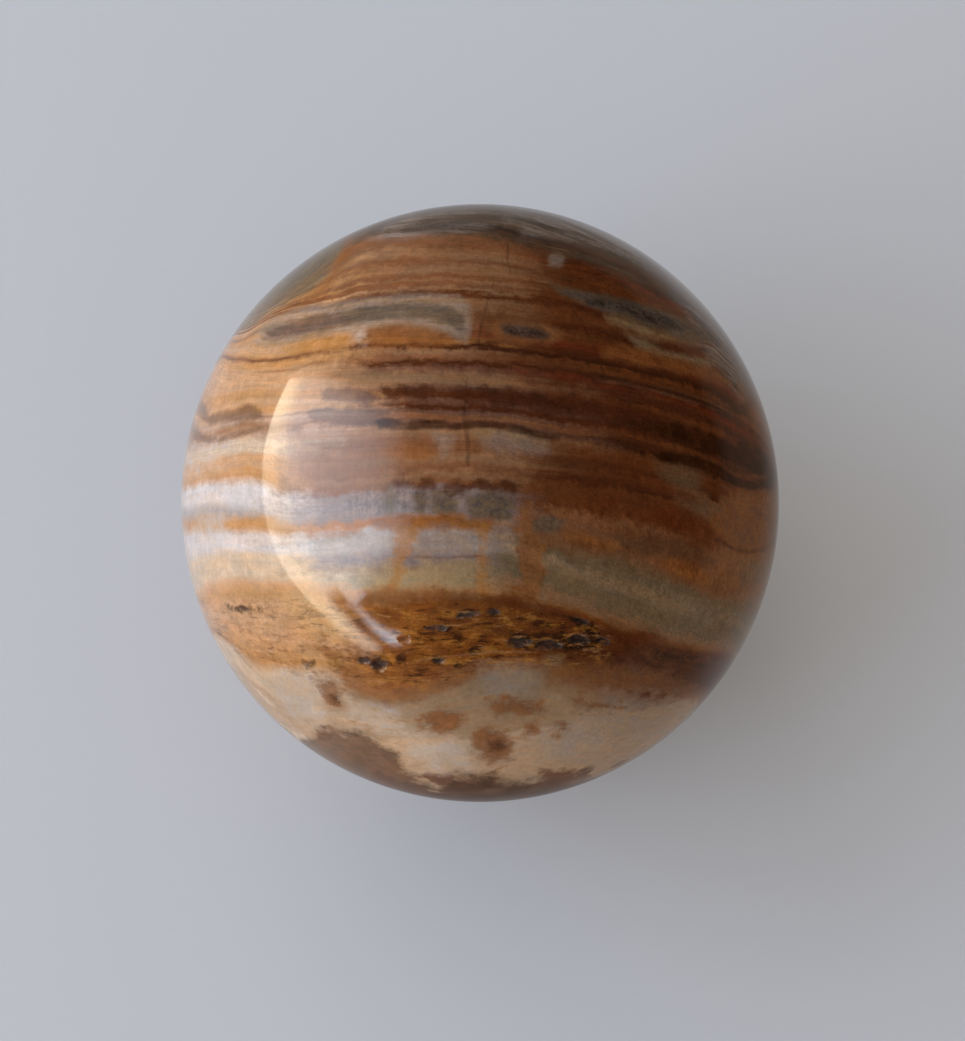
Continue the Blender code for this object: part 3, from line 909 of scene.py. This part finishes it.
class Nodes:
    """Short calls for the nodes of one material, which link as they are made."""

    def __init__(self, tree):
        self.tree = tree
        self.made = 0

    def node(self, kind, **settings):
        node = self.tree.nodes.new(kind)
        self.made += 1
        node.location = (200 * (self.made % 12), -220 * (self.made // 12))
        for name, value in settings.items():
            setattr(node, name, value)
        return node

    def set(self, socket, value):
        if isinstance(value, bpy.types.NodeSocket):
            self.tree.links.new(value, socket)
        else:
            socket.default_value = value

    def attribute(self, name, output="Fac"):
        return self.node("ShaderNodeAttribute", attribute_name=name).outputs[output]

    def split(self, vector):
        node = self.node("ShaderNodeSeparateXYZ")
        self.set(node.inputs[0], vector)
        return node.outputs

    def math(self, operation, *values):
        node = self.node("ShaderNodeMath", operation=operation)
        for socket, value in zip(node.inputs, values):
            self.set(socket, value)
        return node.outputs["Value"]

    def times(self, first, second):
        return self.math("MULTIPLY", first, second)

    def largest(self, first, second):
        return self.math("MAXIMUM", first, second)

    def add(self, base, field, amount):
        """The base with this much of the field added to it."""
        return self.math("MULTIPLY_ADD", field, amount, base)

    def noise(self, vector, sizes, detail, roughness):
        stretched = self.node("ShaderNodeVectorMath", operation="MULTIPLY")
        self.set(stretched.inputs[0], vector)
        stretched.inputs[1].default_value = sizes
        node = self.node("ShaderNodeTexNoise")
        self.set(node.inputs["Vector"], stretched.outputs["Vector"])
        node.inputs["Scale"].default_value = 1.0
        node.inputs["Detail"].default_value = detail
        node.inputs["Roughness"].default_value = roughness
        return node.outputs["Fac"]

    def step(self, value, low, high):
        """0 below low, 1 above high and smooth between, or the other way round."""
        return self.span(value, low, high, 0, 1, "SMOOTHSTEP")

    def span(self, value, low, high, start, end, kind="LINEAR"):
        """Runs from start at low to end at high, and stays there beyond them."""
        node = self.node("ShaderNodeMapRange", interpolation_type=kind)
        for socket, number in zip(node.inputs, (value, low, high, start, end)):
            self.set(socket, number)
        return node.outputs["Result"]

    def mix(self, share, first, second, blend="MIX"):
        node = self.node("ShaderNodeMix", data_type="RGBA", blend_type=blend)
        for number, value in ((0, share), (6, first), (7, second)):
            self.set(node.inputs[number], value)
        return node.outputs[2]

    def ramp(self, share, stops):
        node = self.node("ShaderNodeValToRGB")
        elements = node.color_ramp.elements
        elements.remove(elements[1])
        elements[0].position, elements[0].color = stops[0]
        for place, colour in stops[1:]:
            elements.new(place).color = colour
        self.set(node.inputs["Fac"], share)
        return node.outputs["Color"]


def new_material(name):
    """A material, its shader and its nodes."""
    material = bpy.data.materials.new(name)
    material.use_nodes = True
    return material, material.node_tree.nodes["Principled BSDF"], Nodes(material.node_tree)


def layer_ramp(nodes, layer, column, low, high):
    """The colours of the layers from one value to another, each with a narrow edge."""
    here = [row for row in LAYERS if low <= row[0] < high]
    before = [row[column] for row in LAYERS if row[0] < low]
    mineral = before[-1] if before else here[0][column]
    stops = [(0.0, colour_of(mineral))]
    for row in here:
        if row[column] == mineral:
            continue
        edge = SOFT_EDGE if row[0] > SOFT_SOUTH else EDGE
        for side in (-0.5, 0.5):
            place = (row[0] + side * edge - low) / (high - low)
            mineral = row[column] if side > 0 else mineral
            stops.append((min(max(place, 0), 1), colour_of(mineral)))
    stops.append((1.0, stops[-1][1]))
    return nodes.ramp(nodes.span(layer, low, high, 0, 1), stops)


def layered_colour(nodes, layer, column):
    """The layers' colours in one column of the table, looked up from one ramp to the next."""
    colour = layer_ramp(nodes, layer, column, *RAMP_ENDS[:2])
    for low, high in zip(RAMP_ENDS[1:], RAMP_ENDS[2:]):
        ramp = layer_ramp(nodes, layer, column, low, high)
        colour = nodes.mix(nodes.step(layer, low - 0.5, low + 0.5), colour, ramp)
    return colour


def strayed_layer(nodes, noise, layer, torn):
    """The layer value with its horizons broken up, by so many pixels for each noise."""
    moved = nodes.add(layer, noise.swell, 10.0)
    moved = nodes.add(moved, noise.ragged, nodes.times(torn, 10.0))
    moved = nodes.add(moved, noise.fringe, 1.5)
    thin = nodes.add(nodes.times(noise.streak, 3.0), noise.laminae, 7.0)
    moved = nodes.add(moved, thin, nodes.span(layer, *LAMINAE_CALM, 1, 0.3))
    rough = nodes.span(nodes.attribute("stained east"), -40, 60, 0, 18)
    rough = nodes.times(rough, nodes.span(layer, *CHUNKS_COME, 0.25, 1))
    moved = nodes.add(moved, noise.chunks, rough)
    broken = nodes.times(nodes.span(layer, *MOTTLE_COMES, 8, 30), nodes.step(layer, *MOTTLE_ENDS))
    moved = nodes.add(moved, noise.mottle, nodes.times(broken, torn))
    clouds = nodes.times(noise.haze, nodes.step(layer, *CLOUDS_COME))
    return nodes.add(moved, clouds, 90.0)


def banded_colour(nodes, noise, layer):
    """The layers' colours in the middle, with the pale west and the stained east laid over."""
    wide = nodes.add(nodes.times(noise.swell, 60.0), noise.laminae, 45.0)
    wide = nodes.add(wide, noise.mottle, 90.0)
    colour = layered_colour(nodes, layer, 2)
    for area, column in (("pale west", 1), ("stained east", 3)):
        border = nodes.math("ADD", nodes.attribute(area), wide)
        share = nodes.step(border, -AREA_SOFT, AREA_SOFT)
        colour = nodes.mix(share, colour, layered_colour(nodes, layer, column))
    return colour


def with_outlines(nodes, noise, colour):
    """The colour with every kind of outline laid over it, in the order of the table."""
    edges = {
        "streaky": nodes.add(noise.streak, noise.ragged, 0.6),
        "banded": noise.streak,
        "fibrous": nodes.add(noise.fringe, noise.ragged, 0.8),
        "cloudy": nodes.add(noise.mottle, noise.ragged, 0.4),
        "uneven": noise.ragged,
        "chunky": nodes.add(noise.chunks, noise.ragged, 0.8),
        "speckled": nodes.add(noise.grain, noise.ragged, 0.6),
    }
    fills = {
        "streaky": noise.streak,
        "banded": nodes.times(noise.bands, 1.8),
        "fibrous": nodes.add(noise.fringe, noise.chunks, 0.8),
        "cloudy": noise.mottle,
        "uneven": noise.mottle,
        "chunky": noise.chunks,
        "speckled": nodes.add(noise.mottle, noise.grain, 0.6),
    }
    for name, minerals, kind, strays, soft, strength in OVERLAYS:
        distance = nodes.add(nodes.attribute(name), edges[kind], strays)
        share = nodes.times(nodes.step(distance, -soft, soft), strength)
        own = nodes.mix(nodes.step(fills[kind], -0.22, 0.22), *map(colour_of, minerals))
        colour = nodes.mix(share, colour, own)
    return colour


def with_spots(nodes, spots, colour, spotted):
    """The colour with the seam's gold, rust and soot spots, where it is spotted."""
    for field, low, high, mineral, strength in SEAM_SPOTS:
        share = nodes.times(nodes.step(spots[field], low, high), spotted)
        colour = nodes.mix(nodes.times(share, strength), colour, colour_of(mineral))
    return colour


def painted_shade_and_grain(nodes, noise, layer, east, seam):
    """How light each point is against its palette colour, in bands, streaks and grains, and in
    painted shade that darkens the east and lifts again towards the east rim.
    """
    banded = nodes.math("MINIMUM", nodes.span(layer, *BANDS_WEAKEN, 0.75, 0.2),
                        nodes.span(layer, *BANDS_COME, 0.3, 0.75))
    ruled = nodes.span(layer, *STREAKS_WEAKEN, 0.35, 0.08)
    ruled = nodes.largest(ruled, nodes.times(seam, 0.35))
    even = nodes.span(layer, *GRAIN_WEAKENS, 1, 0.4)
    grainy = nodes.times(nodes.span(east, *GRAIN_COMES, 0.35, 0.9), even)
    lumpy = nodes.times(nodes.span(east, *GRAIN_COMES, 0.3, 0.9), even)
    # Painted shade: the colours are made darker from the west to the east
    bright = nodes.span(nodes.step(east, *PAINTED_SHADE_EAST), 0, 1, 0.91, 0.65)
    for share in (
        # Painted shade: lifting again towards the east rim
        nodes.span(east, *PAINTED_SHADE_LIFTS, 1, 1.15),
        nodes.add(1.0, noise.streak, ruled),
        nodes.add(1.0, noise.bands, banded),
        nodes.add(1.0, noise.grain, grainy),
        nodes.span(noise.mottle, -0.25, 0.25, 0.78, 1.22),
        nodes.span(noise.fringe, -0.25, 0.25, 0.92, 1.08),
        nodes.add(1.0, noise.chunks, lumpy),
        nodes.span(layer, *SOUTH_LIGHTENS, 1, 1.42),
    ):
        bright = nodes.times(bright, share)
    return bright


def with_lines(nodes, noise, colour):
    """The colour with the cracks and threads drawn on it, each broken here and there."""
    for name, mineral, width in LINE_STYLES:
        wave = nodes.add(nodes.attribute(name), noise.ragged, 4.0)
        drawn = nodes.step(nodes.math("ABSOLUTE", wave), width + 1.4, width - 1.0)
        share = nodes.times(drawn, nodes.step(nodes.attribute(name + "_near"), 7.0, 4.0))
        share = nodes.times(share, nodes.span(noise.mottle, -0.15, 0.1, 0.1, 0.5))
        colour = nodes.mix(share, colour, colour_of(mineral))
    return colour


def onyx():
    """Layered, stained and veined onyx under a high polish."""
    material, shader, nodes = new_material("banded onyx")
    bed = nodes.attribute("bed", "Vector")
    layer = nodes.attribute("layer")
    noise = SimpleNamespace(**{
        name: nodes.math("SUBTRACT", nodes.noise(bed, *settings), 0.5)
        for name, settings in BED_NOISES.items()
    })
    place = nodes.attribute("place", "Vector")
    spots = {name: nodes.noise(place, *settings) for name, settings in SEAM_NOISES.items()}
    east = nodes.add(nodes.split(bed)["X"], noise.haze, 0.3)
    torn = nodes.span(east, *EDGES_TEAR, 0.35, 1)
    seam = nodes.step(nodes.add(nodes.attribute("grit"), noise.ragged, 30.0), -7, 5)

    colour = banded_colour(nodes, noise, strayed_layer(nodes, noise, layer, torn))
    colour = with_outlines(nodes, noise, colour)
    spotted = nodes.times(seam, nodes.span(east, *SPOTS_COME, 0.35, 1))
    colour = with_spots(nodes, spots, colour, spotted)
    tint = nodes.mix(nodes.step(noise.warmth, -0.12, 0.12), COOL_TINT, WARM_TINT)
    colour = nodes.mix(1.0, colour, tint, "MULTIPLY")
    # Painted shade over the east, times the stone's bands, streaks and grains
    light = painted_shade_and_grain(nodes, noise, layer, east, seam)
    colour = nodes.mix(1.0, colour, light, "MULTIPLY")
    nodes.set(shader.inputs["Base Color"], with_lines(nodes, noise, colour))

    sunk = nodes.step(nodes.attribute("pit"), 0.02, 0.2)
    polish = nodes.span(seam, 0, 1, 0.06, 0.08)
    nodes.set(shader.inputs["Roughness"], nodes.add(polish, sunk, 0.7))
    shader.inputs["IOR"].default_value = 1.55
    relief = nodes.node("ShaderNodeBump")
    relief.inputs["Strength"].default_value = 0.05
    relief.inputs["Distance"].default_value = 0.0002
    nodes.set(relief.inputs["Height"], nodes.times(spots["flecks"], seam))
    nodes.set(shader.inputs["Normal"], relief.outputs["Normal"])
    return material


def make_stone():
    stone = rounded_cube()
    grind_foot(stone)
    refine_pits(stone)
    press_pits(stone)
    record_stone(stone)
    bpy.ops.object.shade_smooth_by_angle(angle=math.radians(SHARP_DEG))
    stone.data.materials.append(onyx())
    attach(stone, "root")
    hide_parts("onyx_sphere")


def floor_material():
    """A pale matt top. The ball mirrors it pale only close by and towards the window: in the mirror
    it is painted dim to the right, the back and the front, and black further out, as painted shade
    of the shadowed table and the room.
    """
    material, shader, nodes = new_material("pale floor")
    x, y, _ = nodes.split(nodes.node("ShaderNodeTexCoord").outputs["Object"])
    dim = nodes.largest(nodes.step(x, *DIM_RIGHT), nodes.step(y, *DIM_BACK))
    dim = nodes.largest(dim, nodes.step(y, *DIM_FRONT))
    mirrored = nodes.node("ShaderNodeLightPath").outputs["Is Glossy Ray"]
    beyond = nodes.largest(nodes.step(x, *DARK_BEYOND), nodes.step(y, *DARK_BEYOND))
    dim_colour = nodes.mix(beyond, FLOOR_DIM, BLACK)
    # Painted shade in the mirror: dim, and black further out
    colour = nodes.mix(nodes.times(dim, mirrored), FLOOR_COLOUR, dim_colour)
    nodes.set(shader.inputs["Base Color"], colour)
    shader.inputs["Roughness"].default_value = 0.6
    shader.inputs["Specular IOR Level"].default_value = 0.0
    return material


def make_floor():
    left, right, front, back = FLOOR_EDGES
    bpy.ops.object.select_all(action="DESELECT")
    bpy.ops.mesh.primitive_plane_add(size=2)
    floor = bpy.context.object
    floor.name = "floor"
    for vertex in floor.data.vertices:
        vertex.co.x = left if vertex.co.x < 0 else right
        vertex.co.y = front if vertex.co.y < 0 else back
    floor.data.materials.append(floor_material())


def shining_material(name):
    """A black material that shines, its shader and its nodes."""
    material, shader, nodes = new_material(name)
    shader.inputs["Base Color"].default_value = BLACK
    shader.inputs["Emission Strength"].default_value = 1.0
    return material, shader, nodes


def window_material():
    """Pale sky above a warm and brighter strip, with a dark bar between them at one end.

    The places are in metres: along the window towards the back, and up.
    """
    material, shader, nodes = shining_material("window light")
    shader.inputs["Specular IOR Level"].default_value = 0.0
    _, along, height = nodes.split(nodes.node("ShaderNodeTexCoord").outputs["Object"])
    front = nodes.times(nodes.step(along, -0.05, -0.75), 0.3)
    upper = nodes.times(nodes.step(along, 0.1, 0.45), nodes.step(along, 0.74, 0.5))
    strip = nodes.mix(nodes.largest(front, upper), STRIP_DIM, STRIP_BRIGHT)
    sky = nodes.mix(nodes.step(along, 0.2, -0.4), SKY_DIM, SKY)
    sky = nodes.mix(nodes.step(along, -1.05, -1.45), sky, SKY_END)
    lifted = nodes.add(height, nodes.step(along, -0.2, -0.7), -0.25)
    clear = nodes.times(nodes.step(lifted, 2.4, 0.1), nodes.step(along, 0.80, 0.42))
    inner = nodes.largest(nodes.step(along, -1.15, -0.7), nodes.step(height, 0.72, 0.60))
    sky = nodes.mix(nodes.times(clear, inner), BLACK, sky)
    light = nodes.mix(nodes.step(height, 0.18, 0.40), strip, sky)
    bar = nodes.times(nodes.step(height, 0.27, 0.31), nodes.step(height, 0.45, 0.41))
    bar = nodes.times(bar, nodes.step(along, -0.62, -0.85))
    nodes.set(shader.inputs["Emission Color"], nodes.mix(bar, light, BLACK))
    return material


def sill_material():
    material, shader, _ = shining_material("window sill")
    shader.inputs["Emission Color"].default_value = SILL
    return material


def add_object(name, data):
    added = bpy.data.objects.new(name, data)
    bpy.context.scene.collection.objects.link(added)
    return added


def upright_panel(name, distance, outline, material):
    """A flat panel that stands at this distance to the left and faces the ball."""
    mesh = bpy.data.meshes.new(name)
    bm = bmesh.new()
    bm.faces.new([bm.verts.new((-distance, y, z)) for y, z in outline])
    bmesh.ops.triangulate(bm, faces=bm.faces)
    bm.to_mesh(mesh)
    bm.free()
    mesh.materials.append(material)
    panel = add_object(name, mesh)
    panel.visible_camera = False


def make_side_light():
    """A soft light from the room's far left corner, which the polish doesn't mirror."""
    data = bpy.data.lights.new("room side", "AREA")
    data.shape = "SQUARE"
    data.size = SIDE_SIZE
    data.color = SIDE_LIGHT
    data.energy = SIDE_WATTS
    side = add_object("room side", data)
    side.location = SIDE_PLACE
    side.rotation_euler = (CENTRE - side.location).to_track_quat("-Z", "Y").to_euler()
    side.visible_camera = False
    side.visible_glossy = False


def make_room():
    """The dim light that comes from everywhere, which the polish doesn't mirror either."""
    world = bpy.data.worlds.new("room")
    world.use_nodes = True
    background = world.node_tree.nodes["Background"]
    background.inputs["Color"].default_value = ROOM_LIGHT
    background.inputs["Strength"].default_value = 1.0
    world.cycles_visibility.glossy = False
    bpy.context.scene.world = world


def make_camera():
    """The photo's camera, square to the stone's east and north, with the ball where it was."""
    data = bpy.data.cameras.new("camera")
    data.sensor_fit = "HORIZONTAL"
    data.sensor_width = SENSOR_MM
    data.lens = FOCAL_PIXELS * SENSOR_MM / PHOTO_WIDTH
    data.shift_x = (PHOTO_WIDTH / 2 - BALL_X) / PHOTO_WIDTH
    data.shift_y = (BALL_Y - PHOTO_HEIGHT / 2) / PHOTO_WIDTH
    camera = add_object("camera", data)
    place = CENTRE + OUT * CAMERA_RADII * RADIUS
    camera.matrix_world = Matrix.Translation(place) @ STONE_AXES.to_4x4()
    bpy.context.scene.camera = camera


make_stone()
make_floor()
upright_panel("window", WINDOW_DISTANCE, WINDOW_OUTLINE, window_material())
upright_panel("window sill", WINDOW_DISTANCE + 0.01, SILL_OUTLINE, sill_material())
make_side_light()
make_room()
make_camera()
bpy.context.scene.view_settings.view_transform = "Standard"
